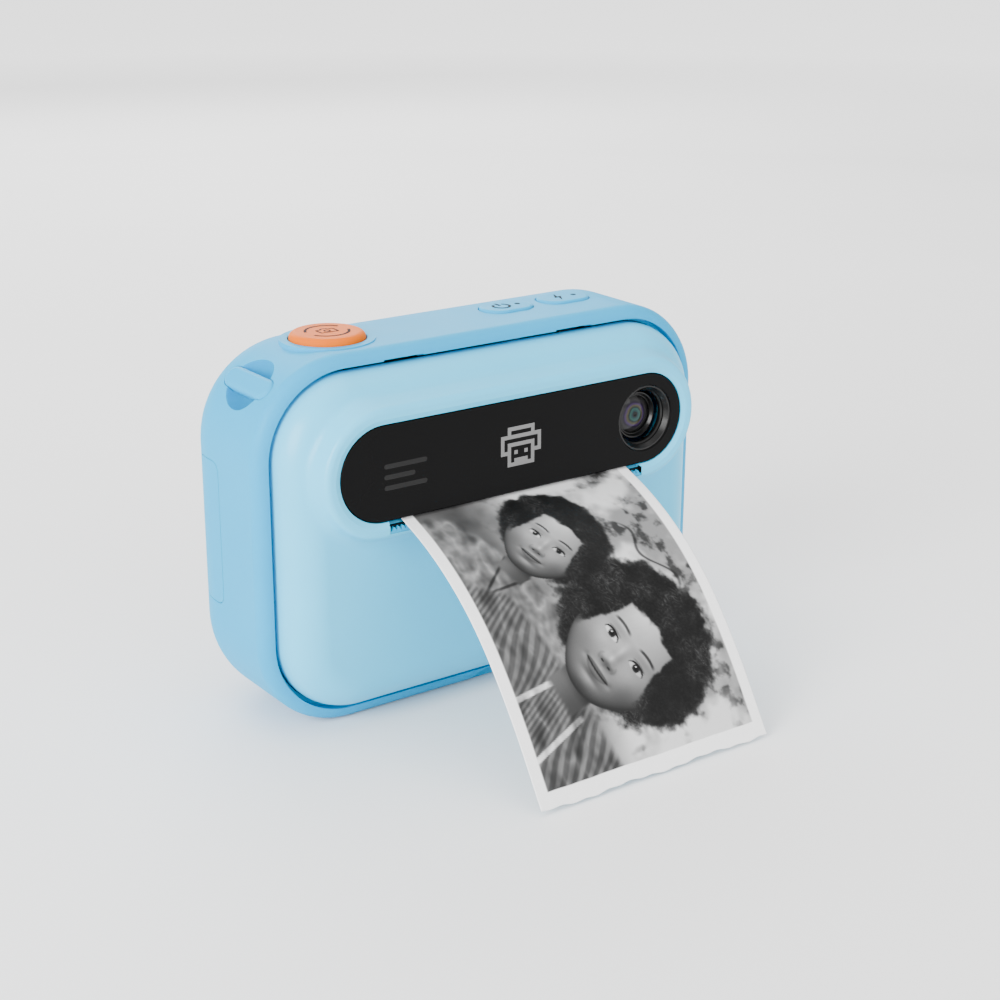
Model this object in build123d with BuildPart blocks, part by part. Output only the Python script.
from build123d import *
from math import atan2, cos, degrees, radians, sin, sqrt, tan
import os

# Kids instant-print camera: housing, hinged front cover, thermal printer, paper and keys.
# Millimetres. The origin is the centre of the flat underside, +Z is up and the lens looks along -Y.
# Depths are measured backwards from the seam between the front cover and the housing, and
# heights from the centre of the front cover.

# ---------------------------------------------------------------- driving dimensions
SEAM_Y = -11.0            # plane of the seam between front cover and housing
CENTRE_Z = 38.7           # height of the front cover's centre above the underside

HALF_W, HALF_H = 55.5, 38.7       # housing seen from the front
CORNER_R = 20.2
BACK_DEPTH, BACK_R = 32.4, 13.0   # seam to back face, and the rounding of the back edge
LIP_R = 2.6                       # rounding of the housing's front lip
SPLIT_DEPTH = 25.0                # seam between middle housing and rear cover
WALL_X, WALL_Z, WALL_BACK = 3.65, 3.35, 2.2

COVER_HALF_W, COVER_HALF_H, COVER_CORNER = 51.6, 35.1, 16.4
CROWN_R = 7.7             # rounding of the cover's front edge, concentric with its hinge
RIM_DEPTH = 2.0           # how far the cover's rim reaches behind the seam
HINGE_DEPTH = 1.1
COVER_WALL = 2.0
GROOVE, GROOVE_DEPTH = 0.95, 2.3
COVER_FACE = HINGE_DEPTH - CROWN_R
HINGE_H = COVER_HALF_H - CROWN_R
KNUCKLE_X, BRACKET_X, HINGE_PIN_R = 22.2, 19.0, 1.2
KNUCKLE_R, KNUCKLE_L = 2.6, 3.0

PANEL_H = 16.8            # centre of the black panel
PANEL_L, PANEL_W, PANEL_T = 85.6, 19.8, 1.0
PANEL_FACE = -10.35
RING, RING_FACE, RING_DRAFT = 3.2, -10.8, 16.0    # raised ring round the panel
RING_BEVEL, RING_BEVEL_DROP = 1.1, 0.45
FOOT_R = 3.0              # concave blend between the ring and the cover
LENS_X = (PANEL_L - PANEL_W) / 2
LENS_HOLE_R = 7.1

PAPER_W, PAPER_T = 57.0, 0.2      # standard thermal roll
SLOT_W, SLOT_GAP = 64.0, 1.3
EXIT_DEPTH, EXIT_H = -10.56, 6.1  # where the paper crosses the panel's plane
EXIT_ANGLE = 21.0                 # the paper leaves this far below level
STRIP_INNER, STRIP_STRAIGHT = 12.2, 2.0
STRIP_BENDS = ((65.7, 29.3), (148.5, 7.5))       # radius and turn of the hanging paper
STRIP_END = 10.0
TOOTH_PITCH = 1.05

NIP_DISTANCE = 20.5               # print line, behind the exit along the paper
PLATEN_R, PLATEN_SHAFT_R = 4.5, 1.5
ROLL_R, CORE_R, SPINDLE_R, JOURNAL_R = 12.2, 6.5, 5.0, 2.5
ROLL_DEPTH, ROLL_H = 9.4, -19.0
GEAR_MODULE, GEAR_W = 0.6, 3.0
PLATEN_TEETH, IDLER_TEETH, PINION_TEETH = 20, 24, 10
IDLER_DIRECTION, PINION_DIRECTION = -75.0, -115.0
GEAR_X = -36.2            # outer face of the gear train
PLATE_X, PLATE_T = 30.5, 2.0      # printer side plates

SHUTTER_X, SHUTTER_DEPTH, SHUTTER_R, SHUTTER_BOSS = -31.0, 13.2, 7.8, 1.9
OVALS = (("power_button", 14.0), ("flash_button", 29.2))
OVAL_DEPTH, OVAL_L, OVAL_W = 14.4, 12.4, 8.3
KEY_GAP = 0.25

LUG_DEPTH, LUG_DISH_R, LUG_DISH = 12.4, 6.3, 5.4
BAR_L, BAR_W, BAR_T, BAR_PROUD = 17.0, 4.8, 2.4, 0.4

FLAP_FRONT, FLAP_BACK, FLAP_TOP, FLAP_BOTTOM = 15.7, 24.2, 16.3, -14.0
FLAP_T, FLAP_GAP = 1.5, 0.15

LATCH_W, LATCH_RIB_TOP = 14.0, -34.4

POST_X, POST_H, POST_R = 42.5, 28.0, 3.4
CHASSIS_FRONT, CHASSIS_BACK = 22.3, 24.0
BOARD_FRONT, BOARD_BACK = 25.8, 27.0
WINDOW_X, WINDOW_L, WINDOW_W = 13.0, 54.0, 40.0
PAD_X = -29.0             # centre of the direction keys

CLEAR = 0.1
COMB_FRONT, COMB_T, COMB_LOW, COMB_ROOT, COMB_TIP = -10.75, 0.9, 4.35, 4.85, 5.6
FIT = 0.05                   # radial running fit of shafts and pins

POST_FRONT, POST_RIB, POST_RIB_T = 12.0, 6.4, 2.4       # screw posts and their ribs
SCREW_BORE_R, SCREW_HEAD_R, SCREW_HEAD_T, SCREW_SEAT = 1.15, 2.0, 1.5, 28.4
WELL_BORE_R, OVAL_WALL, WELL_CUT = 6.2, 2.8, 5.0        # openings under the top buttons
PORT_DEPTH, CARD_DEPTH = 19.6, 20.5                     # sockets, behind the seam
SOCKET_X, SOCKET_H, CARD_H = -51.7, 6.5, -6.5
PLUG_L, PLUG_W, CARD_L, CARD_T = 9.2, 3.2, 12.0, 1.5     # outside of the two sockets
SLIT_X, SLIT_L, SLIT_RISE = 21.3, 9.4, 0.25             # clearance slits over the hinge knuckles
SCOOP_R, SCOOP_BELOW, SCOOP_DEPTH = 9.0, 6.5, 1.7       # finger scoop under the front edge
PAD_REACH, ARROW_L, ARROW_W, KEY_CORNER = 8.7, 8.4, 5.6, 2.6
OK_SIZE, SMALL_KEY, SMALL_KEY_H = 8.6, 6.4, -20.0
KEY_FLANGE_FRONT, KEY_FLANGE_BACK, KEY_STEM_FRONT = 29.5, 30.1, 28.3
REAR_INSIDE, SOUND_H, SOUND_R = 29.0, 20.5, 0.6         # inside of the rear wall; speaker holes
WINDOW_SEAT, WINDOW_T, WINDOW_CORNER = 1.3, 1.2, 4.15
DISPLAY_L, DISPLAY_W, DISPLAY_T, GLASS_T = 50.0, 37.0, 3.1, 0.9
STANDOFF_X, STANDOFF_H = 34.0, 25.5
SPEAKER_R, SPEAKER_T = 5.2, 2.6
BATTERY_X, BATTERY_T, BATTERY_H, BATTERY_L = 37.0, 18.0, 29.0, 9.0
MAIN_L, MAIN_W, PORT_BOARD_L, PORT_BOARD_W = 76.0, 58.0, 12.0, 27.0
CROSS_L, CROSS_T = 2.2, 0.5                             # the screws' cross recess

os.makedirs("parts", exist_ok=True)


# ---------------------------------------------------------------- planes
def front(depth, x=0.0, height=0.0):
    """A plane facing forward: local x is +X, local y is +Z."""
    return Plane(origin=(x, SEAM_Y + depth, CENTRE_Z + height), x_dir=(1, 0, 0), z_dir=(0, -1, 0))


def side(x):
    """A plane facing +X: local x is depth behind the seam, local y is height."""
    return Plane(origin=(x, SEAM_Y, CENTRE_Z), x_dir=(0, 1, 0), z_dir=(1, 0, 0))


def level(height, x=0.0, depth=0.0):
    """A plane facing up: local x is +X, local y runs backwards."""
    return Plane(origin=(x, SEAM_Y + depth, CENTRE_Z + height), x_dir=(1, 0, 0), z_dir=(0, 0, 1))


def paper_point(distance, rise=0.0):
    """Depth and height of a point this far behind the exit along the paper, and above it."""
    a = radians(EXIT_ANGLE)
    return (
        EXIT_DEPTH + distance * cos(a) - rise * sin(a),
        EXIT_H + distance * sin(a) + rise * cos(a),
    )


def polar(centre, radius, angle):
    return (centre[0] + radius * cos(radians(angle)), centre[1] + radius * sin(radians(angle)))


def save(builder, node):
    builder.part.label = node
    export_step(builder.part, f"parts/{node}.step")


# ---------------------------------------------------------------- shared shapes
def case_body(inset_x, inset_z, inset_back, start):
    """The housing's rounded form, smaller by the insets, from a depth to the back."""
    back = BACK_DEPTH - inset_back
    with BuildPart() as body:
        with BuildSketch(front(start)):
            RectangleRounded(2 * (HALF_W - inset_x), 2 * (HALF_H - inset_z), CORNER_R - inset_z)
        extrude(amount=start - back)
        fillet(body.faces().sort_by(Axis.Y)[-1].edges(), BACK_R - (inset_x + inset_z + inset_back) / 3)
    return body.part


def cover_body(inset, rear):
    """The front cover's crowned form, smaller by an inset."""
    with BuildPart() as body:
        with BuildSketch(front(rear)):
            RectangleRounded(2 * (COVER_HALF_W - inset), 2 * (COVER_HALF_H - inset), COVER_CORNER - inset)
        extrude(amount=rear - COVER_FACE - inset)
        fillet(body.faces().sort_by(Axis.Y)[0].edges(), CROWN_R - inset)
    return body.part


def stadium_block(plane, length, width, thick, taper=0.0):
    """A stadium behind a plane; a negative taper widens it towards the back."""
    with BuildPart() as body:
        with BuildSketch(plane):
            SlotOverall(length, width)
        extrude(amount=-thick, taper=taper)
    return body.part


def lug_plane(hand, lift):
    """A plane on the housing's upper corner, facing out at 45 degrees; local y runs backwards."""
    reach = (CORNER_R + lift) * cos(radians(45))
    origin = (
        hand * (HALF_W - CORNER_R + reach),
        SEAM_Y + LUG_DEPTH,
        CENTRE_Z + HALF_H - CORNER_R + reach,
    )
    return Plane(origin=origin, x_dir=(1, 0, -hand), z_dir=(hand, 0, 1))


def lug_bar(hand, extra):
    with BuildPart() as body:
        with BuildSketch(lug_plane(hand, BAR_PROUD)):
            SlotOverall(BAR_L + 2 * extra, BAR_W + 2 * extra, rotation=90)
        extrude(amount=-BAR_T - extra)
    return body.part


def flap_zone(extra):
    depth_mid, height_mid = (FLAP_FRONT + FLAP_BACK) / 2, (FLAP_TOP + FLAP_BOTTOM) / 2
    with BuildPart() as body:
        with BuildSketch(side(-HALF_W - 3)):
            with Locations((depth_mid, height_mid)):
                RectangleRounded(
                    FLAP_BACK - FLAP_FRONT + 2 * extra, FLAP_TOP - FLAP_BOTTOM + 2 * extra, 2.2 + extra
                )
        extrude(amount=8)
    return body.part


def along_x(centre, radius, start, end):
    """A round bar along X between two places, added to the builder in use."""
    with BuildSketch(side(start)) as disc:
        with Locations(centre):
            Circle(radius)
    extrude(disc.sketch, amount=end - start)


def gear_outline(teeth, turn, centre):
    """Points of an involute gear with 20 degree flanks and a little backlash."""
    pitch_r = GEAR_MODULE * teeth / 2
    base_r = pitch_r * cos(radians(20))
    tip_r, root_r = pitch_r + 0.9 * GEAR_MODULE, pitch_r - 1.2 * GEAR_MODULE
    backlash = 0.06 / pitch_r
    half = radians(90 / teeth) - backlash + tan(radians(20)) - radians(20)
    flank = []
    start_r = max(base_r, root_r)
    for step in range(4):
        r = start_r + (tip_r - start_r) * step / 3
        roll = sqrt(max((r / base_r) ** 2 - 1, 0))
        flank.append((r, half - (roll - atan2(roll, 1))))
    if root_r < start_r:
        flank.insert(0, (root_r, flank[0][1]))
    points = []
    for tooth in range(teeth):
        mid = radians(turn + 360 * tooth / teeth)
        for r, offset in flank:
            points.append((centre[0] + r * cos(mid - offset), centre[1] + r * sin(mid - offset)))
        for r, offset in reversed(flank):
            points.append((centre[0] + r * cos(mid + offset), centre[1] + r * sin(mid + offset)))
    return points


def meshed_turn(direction, driver_turn, driver_teeth, teeth):
    """The turn that puts a gear's gap on its neighbour's tooth, in the direction between them."""
    phase = (direction - driver_turn) * driver_teeth / 360
    return direction + 180 + (phase + 0.5) * 360 / teeth


platen = paper_point(NIP_DISTANCE, -PLATEN_R - PAPER_T / 2 - CLEAR)
idler = polar(platen, GEAR_MODULE * (PLATEN_TEETH + IDLER_TEETH) / 2, IDLER_DIRECTION)
pinion = polar(idler, GEAR_MODULE * (IDLER_TEETH + PINION_TEETH) / 2, PINION_DIRECTION)
idler_turn = meshed_turn(IDLER_DIRECTION, IDLER_DIRECTION, PLATEN_TEETH, IDLER_TEETH)
pinion_turn = meshed_turn(PINION_DIRECTION, idler_turn, IDLER_TEETH, PINION_TEETH)

case_outer = case_body(0, 0, 0, 0)
case_cavity = case_body(WALL_X, WALL_Z, WALL_BACK, -1)
flap_floor = case_body(FLAP_T + 0.1, FLAP_T + 0.1, FLAP_T + 0.1, -1)
flap_inner = case_body(FLAP_T, FLAP_T, FLAP_T, -1)
posts = [(x * POST_X, z * POST_H) for x in (-1, 1) for z in (-1, 1)]

# ---------------------------------------------------------------- middle housing
TOP_FLOOR = HALF_H - 2.7      # thin floor left under the top buttons

with BuildPart() as hollow:
    add(case_cavity)
    for hand in (-1, 1):
        with Locations(lug_plane(hand, LUG_DISH_R - LUG_DISH)):
            Sphere(LUG_DISH_R + 2.0, mode=Mode.SUBTRACT)

with BuildPart() as recess:
    add(flap_zone(FLAP_GAP))
    add(flap_floor, mode=Mode.SUBTRACT)

with BuildPart() as middle_housing:
    add(case_outer)
    fillet(middle_housing.faces().sort_by(Axis.Y)[0].edges(), LIP_R)
    with BuildSketch(level(HALF_H + 0.25, SHUTTER_X, SHUTTER_DEPTH)):
        Circle(SHUTTER_R + SHUTTER_BOSS)
    extrude(amount=-3, taper=-6)
    add(hollow.part, mode=Mode.SUBTRACT)
    with BuildSketch(front(-1)):
        RectangleRounded(2 * (COVER_HALF_W + GROOVE), 2 * (COVER_HALF_H + GROOVE), COVER_CORNER + GROOVE)
    extrude(amount=-1 - GROOVE_DEPTH, mode=Mode.SUBTRACT)
    # screw posts, each tied to the wall by a rib
    for x, z in posts:
        with BuildSketch(front(POST_FRONT, x, z)):
            Circle(POST_R)
        extrude(amount=POST_FRONT - CHASSIS_FRONT)
        lean = degrees(atan2(abs(z) - (HALF_H - CORNER_R), abs(x) - (HALF_W - CORNER_R)))
        angle = lean if x * z > 0 else -lean
        if x < 0:
            angle += 180
        with BuildSketch(front(POST_FRONT, x, z)):
            with Locations(polar((0, 0), 3.6, angle)):
                Rectangle(POST_RIB, POST_RIB_T, rotation=angle)
        extrude(amount=POST_FRONT - CHASSIS_FRONT)
    for x, z in posts:
        with BuildSketch(front(CHASSIS_FRONT, x, z)):
            Circle(1.0)
        extrude(amount=9.5, mode=Mode.SUBTRACT)
    # strap dishes and the pockets that hold the bars' ends
    for hand in (-1, 1):
        with Locations(lug_plane(hand, LUG_DISH_R - LUG_DISH)):
            Sphere(LUG_DISH_R, mode=Mode.SUBTRACT)
        add(lug_bar(hand, 0.08), mode=Mode.SUBTRACT)
    # shutter and oval button wells, each with a thin floor and a smaller opening
    with BuildSketch(level(HALF_H + 2, SHUTTER_X, SHUTTER_DEPTH)):
        Circle(SHUTTER_R + KEY_GAP)
    extrude(amount=TOP_FLOOR - HALF_H - 2, mode=Mode.SUBTRACT)
    with BuildSketch(level(HALF_H, SHUTTER_X, SHUTTER_DEPTH)):
        Circle(WELL_BORE_R)
    extrude(amount=-WELL_CUT, mode=Mode.SUBTRACT)
    for node, x in OVALS:
        with BuildSketch(level(HALF_H + 2, x, OVAL_DEPTH)):
            SlotOverall(OVAL_L + 2 * KEY_GAP, OVAL_W + 2 * KEY_GAP)
        extrude(amount=TOP_FLOOR - HALF_H - 2, mode=Mode.SUBTRACT)
        with BuildSketch(level(HALF_H, x, OVAL_DEPTH)):
            SlotOverall(OVAL_L - OVAL_WALL, OVAL_W - OVAL_WALL)
        extrude(amount=-WELL_CUT, mode=Mode.SUBTRACT)
    # port recess and its two openings
    add(recess.part, mode=Mode.SUBTRACT)
    with BuildSketch(side(-HALF_W)):
        with Locations((PORT_DEPTH, SOCKET_H)):
            SlotOverall(9.4, 3.6, rotation=90)
        with Locations((CARD_DEPTH, CARD_H)):
            RectangleRounded(1.8, 12.4, 0.6)
    extrude(amount=5, mode=Mode.SUBTRACT)
    # two clearance slits in the top of the groove, and the finger scoop under the front edge
    for hand in (-1, 1):
        with BuildSketch(level(COVER_HALF_H + GROOVE + SLIT_RISE, hand * SLIT_X, 2.5)):
            Rectangle(SLIT_L, 5)
        extrude(amount=-1.5, mode=Mode.SUBTRACT)
    with BuildSketch(front(0, 0, -HALF_H - SCOOP_BELOW)):
        Circle(SCOOP_R)
    extrude(amount=-SCOOP_DEPTH, taper=30, mode=Mode.SUBTRACT)
    # rib that the front cover's latch rests behind
    with BuildSketch(side(-LATCH_W / 2)):
        with Locations((4.0, (LATCH_RIB_TOP - HALF_H + WALL_Z) / 2 - 0.1)):
            Rectangle(1.0, HALF_H - WALL_Z + LATCH_RIB_TOP + 0.2)
    extrude(amount=LATCH_W)
    split(bisect_by=front(SPLIT_DEPTH), keep=Keep.TOP)
save(middle_housing, "middle_housing")

# ---------------------------------------------------------------- rear cover and its keys
KEY_BACK = BACK_DEPTH + 0.6
key_shapes = (
    ("key_up", (PAD_X, PAD_REACH), ARROW_L, ARROW_W, KEY_CORNER),
    ("key_down", (PAD_X, -PAD_REACH), ARROW_L, ARROW_W, KEY_CORNER),
    ("key_left", (PAD_X + PAD_REACH, 0), ARROW_W, ARROW_L, KEY_CORNER),
    ("key_right", (PAD_X - PAD_REACH, 0), ARROW_W, ARROW_L, KEY_CORNER),
    ("key_ok", (PAD_X, 0), OK_SIZE, OK_SIZE, OK_SIZE / 2 - 0.01),
    ("key_menu", (PAD_X + 7, SMALL_KEY_H), SMALL_KEY, SMALL_KEY, SMALL_KEY / 2 - 0.01),
    ("key_print", (PAD_X - 7, SMALL_KEY_H), SMALL_KEY, SMALL_KEY, SMALL_KEY / 2 - 0.01),
)

with BuildPart() as rear_posts:
    for x, z in posts:
        with BuildSketch(front(CHASSIS_BACK, x, z)):
            Circle(POST_R)
        extrude(amount=CHASSIS_BACK - 31.0)
    add(case_outer, mode=Mode.INTERSECT)

with BuildPart() as rear_cover:
    add(case_outer)
    add(case_cavity, mode=Mode.SUBTRACT)
    split(bisect_by=front(SPLIT_DEPTH), keep=Keep.BOTTOM)
    add(rear_posts.part)
    for x, z in posts:
        with BuildSketch(front(CHASSIS_BACK, x, z)):
            Circle(1.15)
        extrude(amount=-9, mode=Mode.SUBTRACT)
        with BuildSketch(front(SCREW_SEAT, x, z)):
            Circle(2.3)
        extrude(amount=-5, mode=Mode.SUBTRACT)
    with BuildSketch(front(BACK_DEPTH - WINDOW_SEAT, WINDOW_X)):
        RectangleRounded(WINDOW_L + 0.3, WINDOW_W + 0.3, WINDOW_CORNER)
    extrude(amount=-2, mode=Mode.SUBTRACT)
    with BuildSketch(front(REAR_INSIDE, WINDOW_X)):
        RectangleRounded(44.2, 34.2, 1.0)
    extrude(amount=-3, mode=Mode.SUBTRACT)
    with BuildSketch(front(REAR_INSIDE)):
        for node, place, width, height, corner in key_shapes:
            with Locations(place):
                RectangleRounded(width + 2 * KEY_GAP, height + 2 * KEY_GAP, corner + KEY_GAP)
    extrude(amount=-4, mode=Mode.SUBTRACT)
    with BuildSketch(front(REAR_INSIDE, PAD_X, SOUND_H)):
        Circle(SOUND_R)
        with PolarLocations(2.4, 6):
            Circle(SOUND_R)
    extrude(amount=-4, mode=Mode.SUBTRACT)
save(rear_cover, "rear_cover")

for node, place, width, height, corner in key_shapes:
    with BuildPart() as key:
        with BuildSketch(front(KEY_FLANGE_BACK, *place)):
            RectangleRounded(width, height, corner)
        extrude(amount=KEY_FLANGE_BACK - KEY_BACK)
        fillet(key.faces().sort_by(Axis.Y)[-1].edges(), 0.5)
        with BuildSketch(front(KEY_FLANGE_FRONT, *place)):
            RectangleRounded(width + 0.9, height + 0.9, corner + 0.4)
        extrude(amount=KEY_FLANGE_FRONT - KEY_FLANGE_BACK)
        with BuildSketch(front(KEY_STEM_FRONT, *place)):
            Circle(1.3)
        extrude(amount=KEY_STEM_FRONT - KEY_FLANGE_FRONT)
    save(key, node)

with BuildPart() as display_window:
    with BuildSketch(front(BACK_DEPTH - WINDOW_SEAT + FIT, WINDOW_X)):
        RectangleRounded(WINDOW_L, WINDOW_W, 4)
    extrude(amount=-1.2)
    chamfer(display_window.faces().sort_by(Axis.Y)[-1].edges(), 0.2)
save(display_window, "display_window")

with BuildPart() as display:
    with BuildSketch(front(BOARD_BACK, WINDOW_X)):
        RectangleRounded(DISPLAY_L, DISPLAY_W, 0.8)
    extrude(amount=-DISPLAY_T)
    with BuildSketch(front(30.1, WINDOW_X)):
        RectangleRounded(43.6, 33.6, 0.5)
    extrude(amount=-GLASS_T)
save(display, "display")

with BuildPart() as case_screws:
    for x, z in posts:
        with BuildSketch(front(14, x, z)):
            Circle(0.95)
        extrude(amount=14 - 28.5)
        with BuildSketch(front(SCREW_SEAT, x, z)):
            Circle(2.0)
        extrude(amount=-1.5)
        with BuildSketch(front(28.9, x, z)):
            Rectangle(CROSS_T, CROSS_L)
            Rectangle(CROSS_L, CROSS_T)
        extrude(amount=-2, mode=Mode.SUBTRACT)
save(case_screws, "case_screws")

# ---------------------------------------------------------------- strap bars and port cover
for node, hand in (("strap_bar_left", -1), ("strap_bar_right", 1)):
    with BuildPart() as strap_bar:
        add(lug_bar(hand, 0))
        rim = strap_bar.faces().sort_by(Axis((0, 0, 0), (hand, 0, 1)))[-1].edges()
        fillet(rim, 1.0)
    save(strap_bar, node)

with BuildPart() as port_cover:
    add(flap_zone(0))
    add(case_outer, mode=Mode.INTERSECT)
    add(flap_inner, mode=Mode.SUBTRACT)
    # wedge cut behind the hinge line, so that the flap can swing out
    wedge_back = HALF_W - BACK_R + sqrt(BACK_R**2 - (FLAP_BACK - (BACK_DEPTH - BACK_R)) ** 2)
    with BuildSketch(level(FLAP_BOTTOM - 1)):
        with BuildLine():
            Polyline(
                (-wedge_back, FLAP_BACK),
                (-wedge_back + 4, FLAP_BACK - 4),
                (-wedge_back + 4, FLAP_BACK + 1),
                (-wedge_back, FLAP_BACK + 1),
                close=True,
            )
        make_face()
    extrude(amount=FLAP_TOP - FLAP_BOTTOM + 2, mode=Mode.SUBTRACT)
save(port_cover, "port_cover")

# ---------------------------------------------------------------- top buttons
BUTTON_FOOT, LUG_TALL = 34.0, 0.9
CAP_FOOT, OVAL_FOOT, OVAL_PROUD = 37.2, 37.3, 0.5
TOP_BOARD_H, TOP_BOARD_T, SWITCH_SIZE, SWITCH_T = 30.6, 1.2, 4.5, 0.7
with BuildPart() as shutter_button:
    with BuildSketch(level(CAP_FOOT, SHUTTER_X, SHUTTER_DEPTH)):
        Circle(SHUTTER_R)
    extrude(amount=3.1)
    fillet(shutter_button.edges().group_by(Axis.Z)[-1], 1.4)
    with BuildSketch(level(BUTTON_FOOT + LUG_TALL, SHUTTER_X, SHUTTER_DEPTH)):
        Circle(6.0)
    extrude(amount=CAP_FOOT - BUTTON_FOOT - LUG_TALL)
    with BuildSketch(level(BUTTON_FOOT, SHUTTER_X, SHUTTER_DEPTH)):
        Rectangle(14.4, 5)
    extrude(amount=LUG_TALL)
save(shutter_button, "shutter_button")

for node, x in OVALS:
    with BuildPart() as oval_button:
        with BuildSketch(level(OVAL_FOOT, x, OVAL_DEPTH)):
            SlotOverall(OVAL_L, OVAL_W)
        extrude(amount=HALF_H + OVAL_PROUD - OVAL_FOOT)
        fillet(oval_button.edges().group_by(Axis.Z)[-1], 0.6)
        with BuildSketch(level(BUTTON_FOOT + LUG_TALL, x, OVAL_DEPTH)):
            SlotOverall(OVAL_L - 3.2, OVAL_W - 3.2)
        extrude(amount=37.4 - BUTTON_FOOT - LUG_TALL)
        with BuildSketch(level(BUTTON_FOOT, x, OVAL_DEPTH)):
            Rectangle(OVAL_L - 0.8, 3)
        extrude(amount=LUG_TALL)
    save(oval_button, node)

with BuildPart() as top_board:
    with BuildSketch(level(TOP_BOARD_H, 0, OVAL_DEPTH)):
        RectangleRounded(78, 9.2, 1.0)
    extrude(amount=TOP_BOARD_T)
save(top_board, "top_board")

with BuildPart() as top_switches:
    for x, depth in ((SHUTTER_X, SHUTTER_DEPTH), (OVALS[0][1], OVAL_DEPTH), (OVALS[1][1], OVAL_DEPTH)):
        with BuildSketch(level(TOP_BOARD_H + TOP_BOARD_T, x, depth)):
            RectangleRounded(SWITCH_SIZE, SWITCH_SIZE, 0.4)
        extrude(amount=SWITCH_T)
        with BuildSketch(level(TOP_BOARD_H + TOP_BOARD_T + SWITCH_T, x, depth)):
            Circle(1.2)
        extrude(amount=0.35)
save(top_switches, "top_switches")

# ---------------------------------------------------------------- hinged front cover
RING_L, RING_W = PANEL_L + 2 * RING, PANEL_W + 2 * RING
SEAT_T = 0.5 + PANEL_FACE - RING_FACE + PANEL_T + 0.05
ring_block = stadium_block(front(RING_FACE, 0, PANEL_H), RING_L, RING_W, 5.6, -RING_DRAFT)
panel_seat = stadium_block(front(RING_FACE - 0.5, 0, PANEL_H), PANEL_L + 0.2, PANEL_W + 0.2, SEAT_T)
seat_hollow = stadium_block(front(-7.3, 0, PANEL_H), PANEL_L - 3.6, PANEL_W - 3.6, 4)

with BuildPart() as front_cover:
    add(cover_body(0, RIM_DEPTH))
    add(ring_block)
    # the ring's drafted wall blends into the crown all the way round its foot
    foot = []
    for face in front_cover.faces():
        if abs(-face.normal_at().Y - sin(radians(RING_DRAFT))) < 0.03:
            for edge in face.edges():
                deep = edge.position_at(0.5).Y > SEAM_Y + COVER_FACE - 0.4
                if deep and not any(edge.is_same(other) for other in foot):
                    foot.append(edge)
    fillet(foot, FOOT_R)
    crest = front_cover.faces().sort_by(Axis.Y)[0].edges()
    fillet(crest, 1.3)
    add(cover_body(COVER_WALL, RIM_DEPTH + 1), mode=Mode.SUBTRACT)
    # panel seat with its bevelled mouth, and the hollow behind the seat
    add(panel_seat, mode=Mode.SUBTRACT)
    with BuildSketch(front(RING_FACE, 0, PANEL_H)):
        SlotOverall(PANEL_L + 0.2 + 2 * RING_BEVEL, PANEL_W + 0.2 + 2 * RING_BEVEL)
    extrude(amount=-RING_BEVEL_DROP, taper=degrees(atan2(RING_BEVEL, RING_BEVEL_DROP)), mode=Mode.SUBTRACT)
    add(seat_hollow, mode=Mode.SUBTRACT)
    with BuildSketch(front(-12, LENS_X, PANEL_H)):
        Circle(LENS_HOLE_R + 0.3)
    extrude(amount=-8, mode=Mode.SUBTRACT)
    # paper slot along the paper's own direction
    with BuildSketch(side(-SLOT_W / 2)):
        with Locations(paper_point(3.5)):
            Rectangle(14, SLOT_GAP, rotation=EXIT_ANGLE)
    extrude(amount=SLOT_W, mode=Mode.SUBTRACT)
    # rebate that holds the tear comb
    with BuildSketch(side(-SLOT_W / 2)):
        with Locations((-10.6, 5.2)):
            Rectangle(1.7, 1.8)
    extrude(amount=SLOT_W, mode=Mode.SUBTRACT)
    # hinge knuckles hanging inside the crown
    for hand in (-1, 1):
        with BuildSketch(side(hand * KNUCKLE_X - 1.5)):
            with Locations((HINGE_DEPTH, HINGE_H)):
                Circle(KNUCKLE_R)
            with Locations((HINGE_DEPTH - 1.0, HINGE_H + 3.2)):
                Rectangle(3.0, 6.2)
        extrude(amount=3)
        with BuildSketch(side(hand * KNUCKLE_X - 1.5)):
            with Locations((HINGE_DEPTH, HINGE_H)):
                Circle(HINGE_PIN_R)
        extrude(amount=3, mode=Mode.SUBTRACT)
save(front_cover, "front_cover")

with BuildPart() as front_panel:
    add(stadium_block(front(PANEL_FACE, 0, PANEL_H), PANEL_L, PANEL_W, PANEL_T))
    with BuildSketch(front(PANEL_FACE, LENS_X, PANEL_H)):
        Circle(LENS_HOLE_R)
    extrude(amount=-PANEL_T, mode=Mode.SUBTRACT)
    chamfer(front_panel.faces().sort_by(Axis.Y)[0].edges(), 0.25)
save(front_panel, "front_panel")

with BuildPart() as lens_bezel:
    with BuildSketch(side(LENS_X)):
        with BuildLine():
            Polyline(
                (PANEL_FACE + 0.3, PANEL_H + 7.05),
                (PANEL_FACE + 0.3, PANEL_H + 6.75),
                (PANEL_FACE + 1.2, PANEL_H + 6.05),
                (PANEL_FACE + 1.6, PANEL_H + 6.05),
                (PANEL_FACE + 1.9, PANEL_H + 5.75),
                (-7.6, PANEL_H + 5.75),
                (-7.6, PANEL_H + 7.05),
                close=True,
            )
        make_face()
    revolve(axis=Axis((LENS_X, 0, CENTRE_Z + PANEL_H), (0, 1, 0)))
save(lens_bezel, "lens_bezel")

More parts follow.
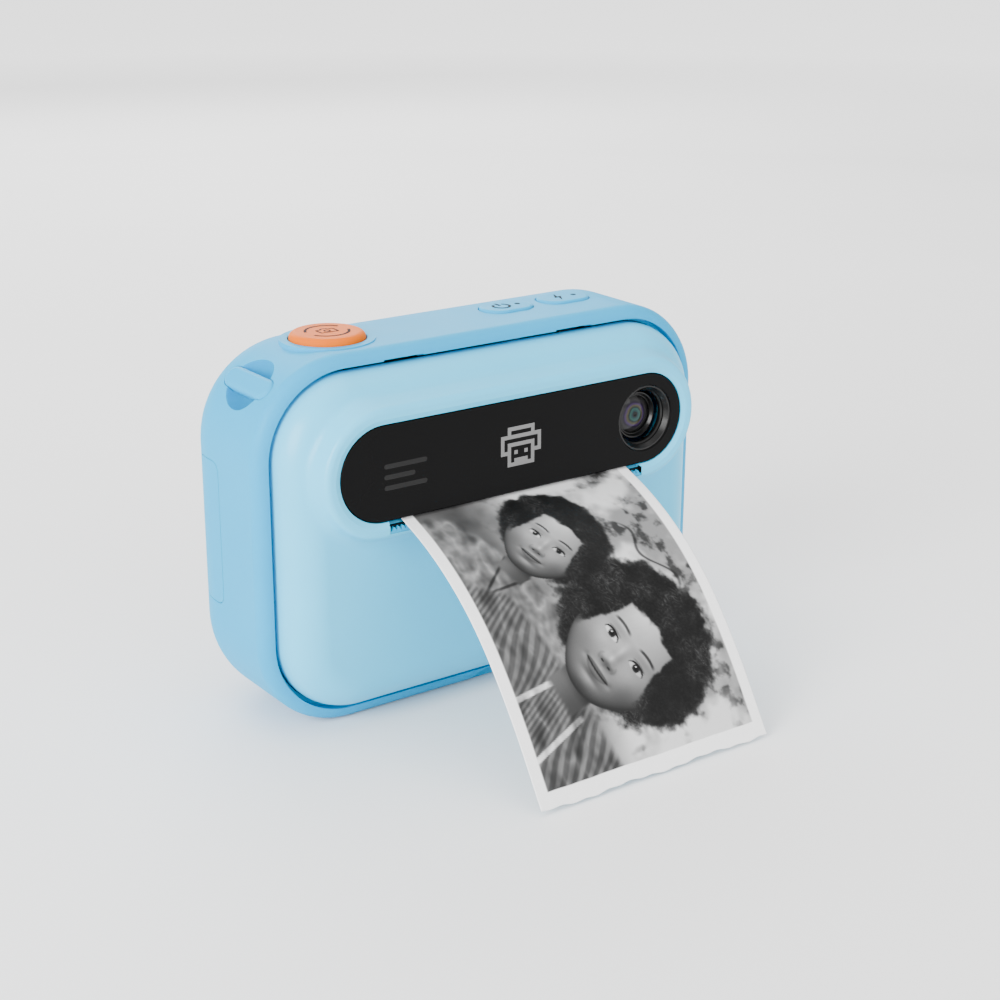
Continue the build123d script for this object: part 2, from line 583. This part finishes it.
with BuildPart() as tear_comb:
    with BuildSketch(front(COMB_FRONT)):
        with BuildLine():
            teeth = [(-SLOT_W / 2 + 0.2, COMB_LOW)]
            count = int((SLOT_W - 0.8) / TOOTH_PITCH)
            first = -count * TOOTH_PITCH / 2
            teeth.append((-SLOT_W / 2 + 0.2, COMB_ROOT))
            for tooth in range(count):
                teeth.append((first + tooth * TOOTH_PITCH, COMB_ROOT))
                teeth.append((first + (tooth + 0.5) * TOOTH_PITCH, COMB_TIP))
            teeth.append((-first, COMB_ROOT))
            teeth.append((SLOT_W / 2 - 0.2, COMB_ROOT))
            teeth.append((SLOT_W / 2 - 0.2, COMB_LOW))
            Polyline(*teeth, close=True)
        make_face()
    extrude(amount=-COMB_T)
save(tear_comb, "tear_comb")

with BuildPart() as hinge_pins:
    for hand in (-1, 1):
        start = hand * BRACKET_X - hand * 1.5
        with BuildSketch(side(start)):
            with Locations((HINGE_DEPTH, HINGE_H)):
                Circle(HINGE_PIN_R)
        extrude(amount=hand * 6.4)
save(hinge_pins, "hinge_pins")

# The tab springs from the inside of the crown; its bump passes just over the housing's rib.
CROWN_IN = CROWN_R - COVER_WALL
TAB_TOP = -32.3
with BuildPart() as latch_tab:
    with BuildSketch(side(-LATCH_W / 2)):
        with BuildLine():
            Polyline(
                (HINGE_DEPTH - 4.1, -HINGE_H - sqrt(CROWN_IN**2 - 4.1**2)),
                (HINGE_DEPTH - 2.0, -HINGE_H - sqrt(CROWN_IN**2 - 2.0**2)),
                (HINGE_DEPTH, -HINGE_H - CROWN_IN),
                (5.0, -HINGE_H - CROWN_IN),
                (5.2, -33.9),
                (5.7, -33.9),
                (6.6, -33.0),
                (6.6, TAB_TOP),
                (HINGE_DEPTH, TAB_TOP),
                close=True,
            )
        make_face()
    extrude(amount=LATCH_W)
save(latch_tab, "latch_tab")

# ---------------------------------------------------------------- printer chassis
PLATE_TOP, PLATE_FOOT = 24.0, -31.0
PLATE_EDGE_LOW, PLATE_EDGE_HIGH = 1.0, 7.5       # front edges below and above the paper path
ARM_LOW, ARM_HIGH = 24.8, 27.8
MOTOR_X = GEAR_X - 1.2
EAR_R, EAR_ANGLES = 7.6, (-20, 160)
HEAD_PIVOT = paper_point(NIP_DISTANCE + 5.2, 3.4)
HEAD_PIVOT_R = 0.8
CAMERA_BOARD_FRONT, CAMERA_BOARD_BACK = 4.5, 5.7
standoffs = [(x, z) for x in (-STANDOFF_X, STANDOFF_X) for z in (-STANDOFF_H, STANDOFF_H)]

with BuildPart() as printer_chassis:
    with BuildSketch(front(CHASSIS_FRONT)):
        RectangleRounded(94, 63, 8)
    extrude(amount=CHASSIS_FRONT - CHASSIS_BACK)
    for start in (-PLATE_X - PLATE_T, PLATE_X):
        with BuildSketch(side(start)):
            with BuildLine():
                Polyline(
                    (PLATE_EDGE_LOW, 3.0),
                    (PLATE_EDGE_HIGH, 6.0),
                    (PLATE_EDGE_HIGH, PLATE_TOP),
                    (CHASSIS_FRONT + 0.5, PLATE_TOP),
                    (CHASSIS_FRONT + 0.5, PLATE_FOOT),
                    (PLATE_EDGE_LOW, PLATE_FOOT),
                    close=True,
                )
            make_face()
            # open slot for the roll's journals, then the bearings
            with Locations((ROLL_DEPTH / 2, ROLL_H)):
                Rectangle(ROLL_DEPTH, 2 * JOURNAL_R + 0.1, mode=Mode.SUBTRACT)
            with Locations((ROLL_DEPTH, ROLL_H)):
                Circle(JOURNAL_R + FIT, mode=Mode.SUBTRACT)
            with Locations(platen):
                Circle(PLATEN_SHAFT_R + FIT, mode=Mode.SUBTRACT)
            with Locations(HEAD_PIVOT):
                Circle(HEAD_PIVOT_R + FIT, mode=Mode.SUBTRACT)
        extrude(amount=PLATE_T)
    # arms that carry the front cover's hinge and the button board
    for hand in (-1, 1):
        with BuildSketch(side(hand * BRACKET_X - 1.5)):
            with Locations(((HINGE_DEPTH + CHASSIS_FRONT + 0.5) / 2, (ARM_LOW + ARM_HIGH) / 2)):
                Rectangle(CHASSIS_FRONT + 0.5 - HINGE_DEPTH, ARM_HIGH - ARM_LOW)
            with Locations((OVAL_DEPTH, (ARM_HIGH + TOP_BOARD_H) / 2 - 0.1)):
                Rectangle(5, TOP_BOARD_H - ARM_HIGH + 0.2)
            with Locations((HINGE_DEPTH, HINGE_H)):
                Circle(KNUCKLE_R)
            with Locations((HINGE_DEPTH, HINGE_H)):
                Circle(HINGE_PIN_R + FIT, mode=Mode.SUBTRACT)
        extrude(amount=3)
    # bar that backs the print head's springs
    with BuildSketch(side(-PLATE_X - 0.5)):
        with Locations(paper_point(NIP_DISTANCE + 1.5, 8.2)):
            Rectangle(9, 1.6, rotation=EXIT_ANGLE)
    extrude(amount=2 * PLATE_X + 1)
    with BuildSketch(side(27.2)):
        with Locations((3.5, PLATE_TOP - 2)):
            Rectangle(7.0, 8.0)
    extrude(amount=5, mode=Mode.SUBTRACT)
    # pillars for the motor's flange
    for angle in EAR_ANGLES:
        with BuildSketch(side(-PLATE_X - PLATE_T)):
            with Locations(polar(pinion, EAR_R, angle)):
                Circle(1.2)
        extrude(amount=MOTOR_X + PLATE_X + PLATE_T)
    # tabs that carry the camera board
    for height in (11.4, 21.6):
        with BuildSketch(side(PLATE_X)):
            with Locations(((CAMERA_BOARD_BACK + PLATE_EDGE_HIGH + 0.5) / 2, height)):
                Rectangle(PLATE_EDGE_HIGH + 0.5 - CAMERA_BOARD_BACK, 1.8)
        extrude(amount=PLATE_T)
    for x, z in posts:
        with BuildSketch(front(CHASSIS_FRONT, x, z)):
            Circle(1.15)
        extrude(amount=-3, mode=Mode.SUBTRACT)
    # standoffs for the main board
    for x, z in standoffs:
        with BuildSketch(front(CHASSIS_BACK, x, z)):
            Circle(2.0)
        extrude(amount=CHASSIS_BACK - BOARD_FRONT)
        with BuildSketch(front(CHASSIS_FRONT, x, z)):
            Circle(0.7)
        extrude(amount=-5, mode=Mode.SUBTRACT)
save(printer_chassis, "printer_chassis")

HEAD_X = 29.0
with BuildPart() as print_head:
    with BuildSketch(side(-HEAD_X)):
        with Locations(paper_point(NIP_DISTANCE + 0.6, 0.7)):
            Rectangle(6.8, 0.9, rotation=EXIT_ANGLE)
    extrude(amount=2 * HEAD_X)
save(print_head, "print_head")

with BuildPart() as head_plate:
    with BuildSketch(side(-HEAD_X)):
        with Locations(paper_point(NIP_DISTANCE + 1.6, 2.15)):
            Rectangle(8.6, 2.0, rotation=EXIT_ANGLE)
        with Locations(HEAD_PIVOT):
            Circle(1.5)
    extrude(amount=2 * HEAD_X)
    along_x(HEAD_PIVOT, HEAD_PIVOT_R, -PLATE_X - PLATE_T - 0.3, PLATE_X + PLATE_T + 0.3)
save(head_plate, "head_plate")

SPRING_X, SPRING_R, SPRING_WIRE = 18.0, 1.7, 0.2
spring_foot = paper_point(NIP_DISTANCE + 0.8, 3.4)
spring_up = (0, -sin(radians(EXIT_ANGLE)), cos(radians(EXIT_ANGLE)))
with BuildPart() as head_springs:
    for x in (-SPRING_X, SPRING_X):
        foot = (x, SEAM_Y + spring_foot[0], CENTRE_Z + spring_foot[1])
        with BuildLine():
            coil = Helix(pitch=1.2, height=3.7, radius=SPRING_R, center=foot, direction=spring_up)
        with BuildSketch(Plane(origin=coil @ 0, z_dir=coil % 0)):
            Circle(SPRING_WIRE)
        sweep(path=coil, is_frenet=True)
save(head_springs, "head_springs")

# ---------------------------------------------------------------- rollers, gears and motor
with BuildPart() as platen_roller:
    along_x(platen, PLATEN_R, -HEAD_X, HEAD_X)
    chamfer(platen_roller.edges().filter_by(GeomType.CIRCLE), 0.3)
    with BuildSketch(side(-HEAD_X)):
        with Locations(platen):
            Circle(PLATEN_SHAFT_R)
    extrude(amount=2 * HEAD_X, mode=Mode.SUBTRACT)
save(platen_roller, "platen_roller")

with BuildPart() as platen_shaft:
    along_x(platen, PLATEN_SHAFT_R, GEAR_X - 0.4, PLATE_X + PLATE_T + 0.8)
save(platen_shaft, "platen_shaft")

MOTOR_SHAFT_R, IDLER_AXLE_R = 0.75, 1.0
gears = (
    ("platen_gear", PLATEN_TEETH, IDLER_DIRECTION, platen, PLATEN_SHAFT_R),
    ("idler_gear", IDLER_TEETH, idler_turn, idler, IDLER_AXLE_R + FIT),
    ("motor_pinion", PINION_TEETH, pinion_turn, pinion, MOTOR_SHAFT_R),
)
for node, teeth, turn, centre, bore in gears:
    with BuildPart() as wheel:
        with BuildSketch(side(GEAR_X)):
            with BuildLine():
                Polyline(*gear_outline(teeth, turn, centre), close=True)
            make_face()
            with Locations(centre):
                Circle(bore, mode=Mode.SUBTRACT)
        extrude(amount=GEAR_W)
    save(wheel, node)

with BuildPart() as idler_axle:
    along_x(idler, IDLER_AXLE_R, GEAR_X - 0.3, -PLATE_X - PLATE_T)
    along_x(idler, 1.8, GEAR_X - 0.9, GEAR_X - 0.15)
save(idler_axle, "idler_axle")

with BuildPart() as motor_shaft:
    along_x(pinion, MOTOR_SHAFT_R, MOTOR_X + 0.1, GEAR_X + GEAR_W)
save(motor_shaft, "motor_shaft")

MOTOR_R, MOTOR_L = 6.5, 12.0
with BuildPart() as feed_motor:
    along_x(pinion, MOTOR_R, MOTOR_X - MOTOR_L, MOTOR_X)
    chamfer(feed_motor.edges().filter_by(GeomType.CIRCLE), 0.4)
    for angle in EAR_ANGLES:
        with BuildSketch(side(MOTOR_X - 0.8)):
            with Locations(polar(pinion, 5.6, angle)):
                Rectangle(4.0, 4.0, rotation=angle)
            with Locations(polar(pinion, EAR_R, angle)):
                Circle(2.0)
        extrude(amount=0.8)
save(feed_motor, "feed_motor")

# ---------------------------------------------------------------- paper
roll_centre = (ROLL_DEPTH, ROLL_H)
with BuildPart() as paper_roll:
    along_x(roll_centre, ROLL_R, -PAPER_W / 2, PAPER_W / 2)
    with BuildSketch(side(-PAPER_W / 2)):
        with Locations(roll_centre):
            Circle(CORE_R)
    extrude(amount=PAPER_W, mode=Mode.SUBTRACT)
save(paper_roll, "paper_roll")

with BuildPart() as roll_core:
    along_x(roll_centre, CORE_R, -PAPER_W / 2, PAPER_W / 2)
    with BuildSketch(side(-PAPER_W / 2)):
        with Locations(roll_centre):
            Circle(SPINDLE_R)
    extrude(amount=PAPER_W, mode=Mode.SUBTRACT)
save(roll_core, "roll_core")

FLANGE_R = CORE_R + 1.5
with BuildPart() as roll_spindle:
    along_x(roll_centre, SPINDLE_R - 0.03, -PAPER_W / 2 - 0.3, PAPER_W / 2 + 0.3)
    along_x(roll_centre, FLANGE_R, -PAPER_W / 2 - 1.3, -PAPER_W / 2 - 0.3)
    along_x(roll_centre, FLANGE_R, PAPER_W / 2 + 0.3, PAPER_W / 2 + 1.3)
    along_x(roll_centre, JOURNAL_R, -PLATE_X - PLATE_T - 0.3, PLATE_X + PLATE_T + 0.3)
save(roll_spindle, "roll_spindle")


def ribbon(start, heading, runs):
    """Closed outline of a thin ribbon: straight runs and (radius, turn) arcs from a start point."""
    ends = []
    for shift in (PAPER_T / 2, -PAPER_T / 2):
        course = heading
        a = radians(course)
        at = (start[0] - shift * sin(a), start[1] + shift * cos(a))
        first = at
        for run in runs:
            a = radians(course)
            if isinstance(run, tuple):
                radius, turn = run
                sense = 1 if turn > 0 else -1
                piece = JernArc(at, (cos(a), sin(a)), radius - sense * shift, turn)
                course += turn
            else:
                piece = Line(at, (at[0] + run * cos(a), at[1] + run * sin(a)))
            at = ((piece @ 1).X, (piece @ 1).Y)
        ends.append((first, at))
    Line(ends[0][0], ends[1][0])
    Line(ends[0][1], ends[1][1])


strip_runs = [STRIP_INNER + STRIP_STRAIGHT, *STRIP_BENDS, STRIP_END]
with BuildPart() as paper_strip:
    with BuildSketch(side(-PAPER_W / 2)):
        with BuildLine():
            ribbon(paper_point(STRIP_INNER), 180 + EXIT_ANGLE, strip_runs)
        make_face()
    extrude(amount=PAPER_W)
save(paper_strip, "paper_strip")

# The web leaves the back of the roll, rises to the platen and turns forward over it.
wrap_r = PLATEN_R + PAPER_T / 2 + CLEAR
roll_gap = ROLL_R + PAPER_T / 2 + CLEAR
span = (roll_centre[0] - platen[0], roll_centre[1] - platen[1])
span_length = sqrt(span[0] ** 2 + span[1] ** 2)
web_run = sqrt(span_length**2 - (roll_gap - wrap_r) ** 2)
bearing = degrees(atan2(span[1], span[0]))
tangent_angle = bearing + degrees(atan2(web_run, wrap_r - roll_gap))
web_runs = [web_run, (wrap_r, 90 + EXIT_ANGLE - tangent_angle), 1.5]
with BuildPart() as paper_web:
    with BuildSketch(side(-PAPER_W / 2)):
        with BuildLine():
            ribbon(polar(roll_centre, roll_gap, tangent_angle), tangent_angle + 90, web_runs)
        make_face()
    extrude(amount=PAPER_W)
save(paper_web, "paper_web")

# ---------------------------------------------------------------- electronics
with BuildPart() as main_board:
    with BuildSketch(front(BOARD_FRONT)):
        RectangleRounded(MAIN_L, MAIN_W, 2)
        with Locations(*standoffs):
            Circle(1.0, mode=Mode.SUBTRACT)
    extrude(amount=BOARD_FRONT - BOARD_BACK)
save(main_board, "main_board")

with BuildPart() as board_screws:
    for x, z in standoffs:
        with BuildSketch(front(BOARD_BACK, x, z)):
            Circle(1.7)
        extrude(amount=-1.1)
        with BuildSketch(front(CHASSIS_BACK, x, z)):
            Circle(0.65)
        extrude(amount=CHASSIS_BACK - BOARD_BACK)
        with BuildSketch(front(BOARD_BACK + 0.6, x, z)):
            Rectangle(0.4, 1.9)
            Rectangle(1.9, 0.4)
        extrude(amount=-1, mode=Mode.SUBTRACT)
save(board_screws, "board_screws")

with BuildPart() as shield_can:
    with BuildSketch(front(BOARD_FRONT - 1.5, -8, 8)):
        RectangleRounded(18, 16, 0.8)
    extrude(amount=-1.5)
save(shield_can, "shield_can")

with BuildPart() as key_domes:
    for node, place, width, height, corner in key_shapes:
        with BuildSketch(front(BOARD_BACK, *place)):
            Circle(2.2)
        extrude(amount=-0.5)
save(key_domes, "key_domes")

with BuildPart() as speaker:
    with BuildSketch(front(BOARD_BACK, PAD_X, SOUND_H)):
        Circle(SPEAKER_R)
    extrude(amount=-SPEAKER_T)
    chamfer(speaker.edges().filter_by(GeomType.CIRCLE), 0.3)
save(speaker, "speaker")

PORT_BOARD_FRONT = 21.2
with BuildPart() as port_board:
    with BuildSketch(front(PORT_BOARD_FRONT, -45.0)):
        RectangleRounded(PORT_BOARD_L, PORT_BOARD_W, 0.8)
    extrude(amount=PORT_BOARD_FRONT - CHASSIS_FRONT)
save(port_board, "port_board")

with BuildPart() as charging_socket:
    with BuildSketch(side(SOCKET_X)):
        with Locations((PORT_BOARD_FRONT - PLUG_W / 2, SOCKET_H)):
            SlotOverall(PLUG_L, PLUG_W, rotation=90)
            SlotOverall(PLUG_L - 0.6, PLUG_W - 0.6, rotation=90, mode=Mode.SUBTRACT)
    extrude(amount=7)
    with BuildSketch(side(SOCKET_X + 5.5)):
        with Locations((PORT_BOARD_FRONT - PLUG_W / 2, SOCKET_H)):
            SlotOverall(PLUG_L, PLUG_W, rotation=90)
    extrude(amount=1.5)
    with BuildSketch(side(SOCKET_X + 0.5)):
        with Locations((PORT_BOARD_FRONT - PLUG_W / 2, SOCKET_H)):
            Rectangle(0.7, 6.4)
    extrude(amount=6)
save(charging_socket, "charging_socket")

with BuildPart() as card_socket:
    with BuildSketch(side(SOCKET_X)):
        with Locations((PORT_BOARD_FRONT - CARD_T / 2, CARD_H)):
            Rectangle(CARD_T, CARD_L)
            Rectangle(0.9, 11.2, mode=Mode.SUBTRACT)
    extrude(amount=11)
    with BuildSketch(side(SOCKET_X + 10.5)):
        with Locations((PORT_BOARD_FRONT - CARD_T / 2, CARD_H)):
            Rectangle(CARD_T, CARD_L)
    extrude(amount=0.5)
save(card_socket, "card_socket")

with BuildPart() as battery:
    with BuildSketch(side(BATTERY_X)):
        with Locations((CHASSIS_FRONT - BATTERY_T / 2, -8.0)):
            RectangleRounded(BATTERY_T, BATTERY_H, 2.5)
    extrude(amount=BATTERY_L)
save(battery, "battery")

# ---------------------------------------------------------------- camera module
lens_axis = Axis((LENS_X, 0, CENTRE_Z + PANEL_H), (0, 1, 0))
LENS_R, BARREL_R, HOLDER_BASE = 4.15, 4.6, 3.5
HOLDER_FRONT, BORE_R, RIM_R, STOP_R = -2.0, 2.9, 5.2, 3.6

with BuildPart() as lens_barrel:
    with BuildSketch(side(LENS_X)):
        with BuildLine():
            Polyline(
                (-7.0, PANEL_H + RIM_R),
                (-7.2, PANEL_H + 5.0),
                (-7.2, PANEL_H + 4.75),
                (-6.6, PANEL_H + LENS_R + 0.2),
                (-6.6, PANEL_H + LENS_R + FIT),
                (-5.0, PANEL_H + LENS_R + FIT),
                (-5.0, PANEL_H + STOP_R),
                (-4.2, PANEL_H + STOP_R),
                (-4.2, PANEL_H + BORE_R),
                (3.4, PANEL_H + BORE_R),
                (3.4, PANEL_H + BARREL_R),
                (-5.6, PANEL_H + BARREL_R),
                (-5.6, PANEL_H + RIM_R),
                close=True,
            )
        make_face()
    revolve(axis=lens_axis)
save(lens_barrel, "lens_barrel")

LENS_TIP, LENS_BACK, LENS_SPHERE = -6.95, -5.0, 11.9
with BuildPart() as lens_front:
    with BuildSketch(front(LENS_TIP, LENS_X, PANEL_H)):
        Circle(LENS_R)
    extrude(amount=LENS_TIP - LENS_BACK)
    with Locations(front(LENS_TIP + LENS_SPHERE, LENS_X, PANEL_H)):
        Sphere(LENS_SPHERE, mode=Mode.INTERSECT)
save(lens_front, "lens_front")

with BuildPart() as lens_iris:
    with BuildSketch(front(-4.95, LENS_X, PANEL_H)):
        Circle(STOP_R - FIT)
        Circle(1.6, mode=Mode.SUBTRACT)
    extrude(amount=-0.6)
save(lens_iris, "lens_iris")

with BuildPart() as lens_rear:
    with BuildSketch(front(-2.2, LENS_X, PANEL_H)):
        Circle(BORE_R - 0.02)
    extrude(amount=-1.4)
    chamfer(lens_rear.edges().filter_by(GeomType.CIRCLE), 0.25)
save(lens_rear, "lens_rear")

CAMERA_BOARD_X = 34.95
with BuildPart() as lens_holder:
    with BuildSketch(front(HOLDER_BASE, CAMERA_BOARD_X - 0.2, PANEL_H)):
        RectangleRounded(10.4, 13, 0.8)
    extrude(amount=HOLDER_BASE - CAMERA_BOARD_FRONT)
    with BuildSketch(front(HOLDER_FRONT, LENS_X, PANEL_H)):
        Circle(BARREL_R + 1.0)
    extrude(amount=HOLDER_FRONT - HOLDER_BASE - 0.2)
    with BuildSketch(front(HOLDER_FRONT, LENS_X, PANEL_H)):
        Circle(BARREL_R + 0.02)
    extrude(amount=HOLDER_FRONT - HOLDER_BASE, mode=Mode.SUBTRACT)
    with BuildSketch(front(HOLDER_FRONT, LENS_X, PANEL_H)):
        Circle(3.0)
    extrude(amount=-8, mode=Mode.SUBTRACT)
save(lens_holder, "lens_holder")

with BuildPart() as image_sensor:
    with BuildSketch(front(CAMERA_BOARD_FRONT - 0.6, LENS_X, PANEL_H)):
        Rectangle(4.0, 4.0)
    extrude(amount=-0.6)
save(image_sensor, "image_sensor")

with BuildPart() as camera_board:
    with BuildSketch(front(CAMERA_BOARD_FRONT, CAMERA_BOARD_X, PANEL_H)):
        RectangleRounded(11.3, 14, 0.8)
    extrude(amount=CAMERA_BOARD_FRONT - CAMERA_BOARD_BACK)
save(camera_board, "camera_board")
